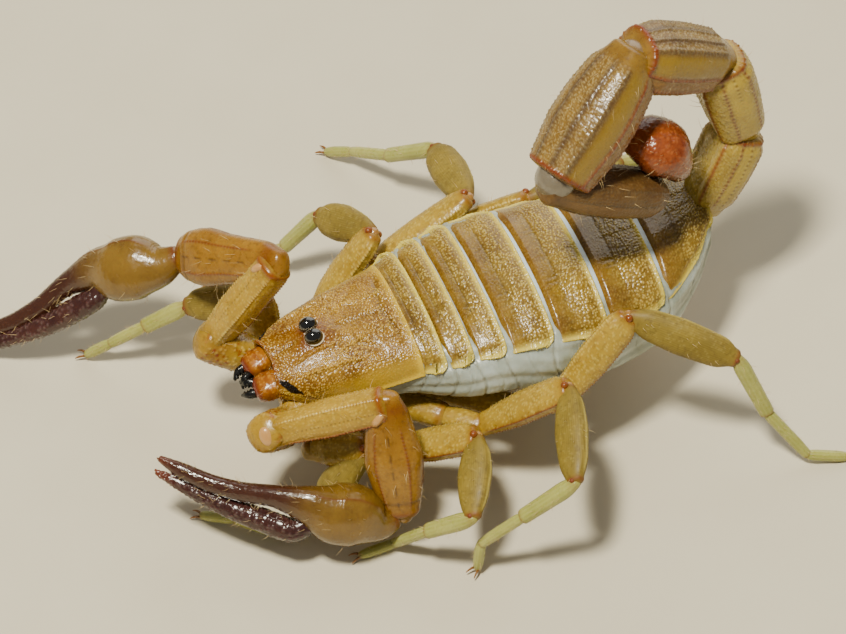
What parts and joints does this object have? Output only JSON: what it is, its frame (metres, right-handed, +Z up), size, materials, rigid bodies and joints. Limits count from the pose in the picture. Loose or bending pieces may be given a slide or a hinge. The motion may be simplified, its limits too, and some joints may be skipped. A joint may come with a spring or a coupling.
{
  "type": "desert scorpion",
  "caption": "Standing scorpion with pincers held low in front and the segmented tail arched over its back, the sting folded in.",
  "frame": {"origin": "middle of the bounding box's footprint, on the floor under the trunk", "axes": "+X towards the head, along the trunk; +Y towards the animal's left; +Z up"},
  "size_m": [0.041, 0.0292, 0.0207],
  "materials": {
    "shell_amber": "glossy amber-brown chitin, finely granular",
    "shell_trunk": "golden-brown chitin plates with paler rear borders",
    "shell_leg": "translucent yellow-olive chitin",
    "shell_wine": "polished dark wine-red chitin",
    "shell_tail": "olive-brown chitin with dark beaded keels",
    "shell_tail_dark": "dark olive-brown granular chitin",
    "shell_telson": "deep red-orange chitin, near black at the sting",
    "eye": "polished black lens",
    "comb_pale": "pale straw-coloured chitin"
  },
  "bodies": {
    "root": {"carapace": "shell_amber", "mesosoma_1": "shell_trunk", "mesosoma_2": "shell_trunk", "mesosoma_3": "shell_trunk", "mesosoma_4": "shell_trunk", "mesosoma_5": "shell_trunk", "mesosoma_6": "shell_trunk", "mesosoma_7": "shell_trunk", "pectine_left": "comb_pale", "pectine_right": "comb_pale", "eye_left": "eye", "eye_right": "eye", "chelicera_left": "shell_amber", "chelicera_right": "shell_amber", "metasoma_1": "shell_tail", "metasoma_2": "shell_tail", "metasoma_3": "shell_tail", "metasoma_4": "shell_tail", "metasoma_5": "shell_tail_dark", "telson": "shell_telson", "palp_left_femur": "shell_amber", "palp_left_patella": "shell_amber", "palp_left_hand": "shell_amber", "palp_left_finger": "shell_wine", "palp_right_femur": "shell_amber", "palp_right_patella": "shell_amber", "palp_right_hand": "shell_amber", "palp_right_finger": "shell_wine", "leg_1_left_femur": "shell_leg", "leg_1_left_patella": "shell_leg", "leg_1_left_tibia": "shell_leg", "leg_1_left_tarsus": "shell_leg", "leg_1_right_femur": "shell_leg", "leg_1_right_patella": "shell_leg", "leg_1_right_tibia": "shell_leg", "leg_1_right_tarsus": "shell_leg", "leg_2_left_femur": "shell_leg", "leg_2_left_patella": "shell_leg", "leg_2_left_tibia": "shell_leg", "leg_2_left_tarsus": "shell_leg", "leg_2_right_femur": "shell_leg", "leg_2_right_patella": "shell_leg", "leg_2_right_tibia": "shell_leg", "leg_2_right_tarsus": "shell_leg", "leg_3_left_femur": "shell_leg", "leg_3_left_patella": "shell_leg", "leg_3_left_tibia": "shell_leg", "leg_3_left_tarsus": "shell_leg", "leg_3_right_femur": "shell_leg", "leg_3_right_patella": "shell_leg", "leg_3_right_tibia": "shell_leg", "leg_3_right_tarsus": "shell_leg", "leg_4_left_femur": "shell_leg", "leg_4_left_patella": "shell_leg", "leg_4_left_tibia": "shell_leg", "leg_4_left_tarsus": "shell_leg", "leg_4_right_femur": "shell_leg", "leg_4_right_patella": "shell_leg", "leg_4_right_tibia": "shell_leg", "leg_4_right_tarsus": "shell_leg"}
  },
  "joints": []
}
